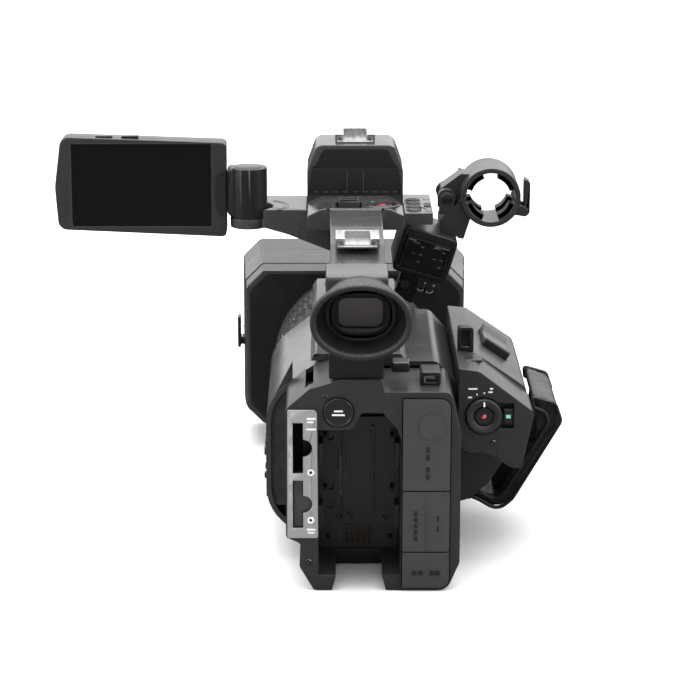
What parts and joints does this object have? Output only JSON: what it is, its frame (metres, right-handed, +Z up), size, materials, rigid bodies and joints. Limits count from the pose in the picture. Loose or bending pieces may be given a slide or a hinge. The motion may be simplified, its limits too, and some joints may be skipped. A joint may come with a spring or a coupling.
{
  "type": "camcorder",
  "caption": "Handheld camcorder with top handle, swing-out screen, tilting eyepiece, lens hood with shutter, hand grip with strap, microphone clamp and sound inputs.",
  "frame": {"origin": "mouth of the tripod socket, on the base's underside", "axes": "+Y the way the lens looks, +X the hand-grip side, +Z up"},
  "size_m": [0.2657, 0.333, 0.1933],
  "materials": {
    "body_plastic": "fine moulded grain",
    "deck_plastic": "satin painted plastic",
    "black_plastic": "satin",
    "cover_rubber": "soft matt rubber",
    "ring_rubber": "matt rubber",
    "bright_metal": "satin nickel",
    "contact_brass": "gold plated",
    "silver_plate": "bead blasted",
    "lens_glass": "coated",
    "screen_glass": "polished black",
    "record_red": "satin",
    "lock_green": "satin",
    "strap_leather": "padded black leather",
    "circuit_board": "solder mask"
  },
  "bodies": {
    "camera": {"rear_cover": "body_plastic", "battery_plate": "black_plastic", "battery_terminals": "contact_brass", "card_slot_plate": "silver_plate", "card_slots": "black_plastic", "jacks": "bright_metal", "strap_hooks": "bright_metal", "base_plate": "body_plastic", "tripod_socket": "bright_metal", "left_cover": "deck_plastic", "right_cover": "body_plastic", "main_board": "circuit_board", "sensor_block": "bright_metal", "lens_barrel": "black_plastic", "front_lens": "lens_glass", "lens_hood": "body_plastic", "top_cover": "deck_plastic", "handle_frame": "body_plastic", "handle_top": "deck_plastic", "accessory_shoes": "bright_metal", "lcd_base": "deck_plastic", "evf_support": "black_plastic", "evf_pin": "bright_metal", "xlr_box": "body_plastic", "xlr_sockets": "bright_metal", "mic_base": "body_plastic", "grip_shell": "body_plastic", "hand_strap": "strap_leather"},
    "battery_release": {"battery_release_button": "black_plastic"},
    "battery_latch": {"battery_latch": "bright_metal"},
    "slot_shutter": {"slot_shutter": "black_plastic"},
    "av_cover": {"av_cover": "cover_rubber"},
    "hdmi_cover": {"hdmi_cover": "cover_rubber"},
    "dc_cover": {"dc_cover": "cover_rubber"},
    "iris_ring": {"iris_ring": "ring_rubber"},
    "zoom_ring": {"zoom_ring": "ring_rubber"},
    "focus_ring": {"focus_ring": "ring_rubber"},
    "shutter_upper": {"shutter_upper": "black_plastic"},
    "shutter_lower": {"shutter_lower": "black_plastic"},
    "shutter_lever": {"shutter_lever": "black_plastic"},
    "handle_zoom": {"handle_zoom_lever": "black_plastic"},
    "handle_record": {"handle_record_button": "record_red"},
    "function_1": {"function_button_1": "black_plastic"},
    "function_2": {"function_button_2": "black_plastic"},
    "function_3": {"function_button_3": "black_plastic"},
    "function_4": {"function_button_4": "black_plastic"},
    "lcd_arm": {"lcd_swivel": "black_plastic"},
    "lcd_panel": {"lcd_bezel": "black_plastic", "lcd_back_cover": "body_plastic", "lcd_glass": "screen_glass"},
    "eyepiece": {"evf_housing": "deck_plastic", "evf_lens": "lens_glass", "eyecup": "ring_rubber"},
    "mic_jaw": {"mic_upper_jaw": "deck_plastic"},
    "mic_latch": {"mic_latch": "body_plastic"},
    "power_dial": {"power_dial": "black_plastic"},
    "record_button": {"record_button": "record_red"},
    "dial_lock": {"dial_lock": "lock_green"},
    "xlr_cover": {"xlr_cover": "screen_glass"},
    "zoom_rocker": {"zoom_rocker": "black_plastic"}
  },
  "joints": [
    {"name": "battery_release_push", "type": "slide", "parent": "camera", "child": "battery_release", "axis": [0, 1, 0], "range_m": [0, 0.0014], "stiffness_N_per_m": 400},
    {"name": "battery_latch_slide", "type": "slide", "parent": "camera", "child": "battery_latch", "axis": [0, 0, 1], "range_m": [0, 0.0014]},
    {"name": "slot_shutter_swing", "type": "hinge", "parent": "camera", "child": "slot_shutter", "pos_m": [-0.0314, -0.1092, 0.0444], "axis": [0, 0, 1], "range_deg": [0, 80], "stiffness_Nm_per_rad": 0.0006},
    {"name": "av_cover_open", "type": "hinge", "parent": "camera", "child": "av_cover", "pos_m": [0.0208, -0.1114, 0.074], "axis": [0, 0, -1], "range_deg": [0, 110]},
    {"name": "hdmi_cover_open", "type": "hinge", "parent": "camera", "child": "hdmi_cover", "pos_m": [0.0208, -0.1114, 0.035], "axis": [0, 0, -1], "range_deg": [0, 110]},
    {"name": "dc_cover_open", "type": "hinge", "parent": "camera", "child": "dc_cover", "pos_m": [0.0208, -0.1114, 0.01], "axis": [0, 0, -1], "range_deg": [0, 110]},
    {"name": "iris_turn", "type": "hinge", "parent": "camera", "child": "iris_ring", "pos_m": [0, 0.048, 0.057], "axis": [0, 1, 0], "continuous": true},
    {"name": "zoom_turn", "type": "hinge", "parent": "camera", "child": "zoom_ring", "pos_m": [0, 0.07, 0.057], "axis": [0, 1, 0], "range_deg": [-45, 45]},
    {"name": "focus_turn", "type": "hinge", "parent": "camera", "child": "focus_ring", "pos_m": [0, 0.102, 0.057], "axis": [0, 1, 0], "continuous": true},
    {"name": "shutter_lever_turn", "type": "hinge", "parent": "camera", "child": "shutter_lever", "pos_m": [0, 0.15, 0.0585], "axis": [1, 0, 0], "range_deg": [0, 90]},
    {"name": "shutter_upper_swing", "type": "hinge", "parent": "camera", "child": "shutter_upper", "pos_m": [0, 0.173, 0.0983], "axis": [1, 0, 0], "range_deg": [0, 90]},
    {"name": "shutter_lower_swing", "type": "hinge", "parent": "camera", "child": "shutter_lower", "pos_m": [0, 0.173, 0.0187], "axis": [1, 0, 0], "range_deg": [-90, 0]},
    {"name": "handle_zoom_rock", "type": "hinge", "parent": "camera", "child": "handle_zoom", "pos_m": [-0.004, 0.049, 0.157], "axis": [1, 0, 0], "range_deg": [-8, 8], "stiffness_Nm_per_rad": 0.03},
    {"name": "handle_record_push", "type": "slide", "parent": "camera", "child": "handle_record", "axis": [0, 0, -1], "range_m": [0, 0.001], "stiffness_N_per_m": 300},
    {"name": "function_1_push", "type": "slide", "parent": "camera", "child": "function_1", "axis": [0, 0, -1], "range_m": [0, 0.001], "stiffness_N_per_m": 300},
    {"name": "function_2_push", "type": "slide", "parent": "camera", "child": "function_2", "axis": [0, 0, -1], "range_m": [0, 0.001], "stiffness_N_per_m": 300},
    {"name": "function_3_push", "type": "slide", "parent": "camera", "child": "function_3", "axis": [0, 0, -1], "range_m": [0, 0.001], "stiffness_N_per_m": 300},
    {"name": "function_4_push", "type": "slide", "parent": "camera", "child": "function_4", "axis": [0, 0, -1], "range_m": [0, 0.001], "stiffness_N_per_m": 300},
    {"name": "lcd_swing", "type": "hinge", "parent": "camera", "child": "lcd_arm", "pos_m": [-0.058, 0.067, 0.16], "axis": [0, 0, 1], "range_deg": [0, 90]},
    {"name": "lcd_tilt", "type": "hinge", "parent": "lcd_arm", "child": "lcd_panel", "pos_m": [-0.07, 0.067, 0.1635], "axis": [1, 0, 0], "range_deg": [-90, 180]},
    {"name": "evf_tilt", "type": "hinge", "parent": "camera", "child": "eyepiece", "pos_m": [-0.0015, -0.083, 0.138], "axis": [-1, 0, 0], "range_deg": [0, 70]},
    {"name": "mic_jaw_open", "type": "hinge", "parent": "camera", "child": "mic_jaw", "pos_m": [0.0487, 0.073, 0.1601], "axis": [0, -1, 0], "range_deg": [0, 100]},
    {"name": "mic_latch_open", "type": "hinge", "parent": "camera", "child": "mic_latch", "pos_m": [0.0915, 0.073, 0.152], "axis": [0, 1, 0], "range_deg": [0, 80]},
    {"name": "power_dial_turn", "type": "hinge", "parent": "camera", "child": "power_dial", "pos_m": [0.0616, -0.08, 0.0797], "axis": [0, -1, 0], "range_deg": [0, 30]},
    {"name": "record_push", "type": "slide", "parent": "camera", "child": "record_button", "axis": [0, 1, 0], "range_m": [0, 0.0012], "stiffness_N_per_m": 300},
    {"name": "dial_lock_slide", "type": "slide", "parent": "camera", "child": "dial_lock", "axis": [0, 0, -1], "range_m": [0, 0.0024]},
    {"name": "xlr_cover_open", "type": "hinge", "parent": "camera", "child": "xlr_cover", "pos_m": [0.03911, 0.0486, 0.13789], "axis": [-0.9563, 0, 0.2924], "range_deg": [0, 110]},
    {"name": "zoom_rock", "type": "hinge", "parent": "camera", "child": "zoom_rocker", "pos_m": [0.071, -0.002, 0.09625], "axis": [0.832, 0, -0.5548], "range_deg": [-6, 6], "stiffness_Nm_per_rad": 0.05}
  ],
  "couplings": [
    {"joint": "battery_latch_slide", "follows": "battery_release_push", "ratio": 1},
    {"joint": "shutter_upper_swing", "follows": "shutter_lever_turn", "ratio": 1},
    {"joint": "shutter_lower_swing", "follows": "shutter_lever_turn", "ratio": -1}
  ]
}
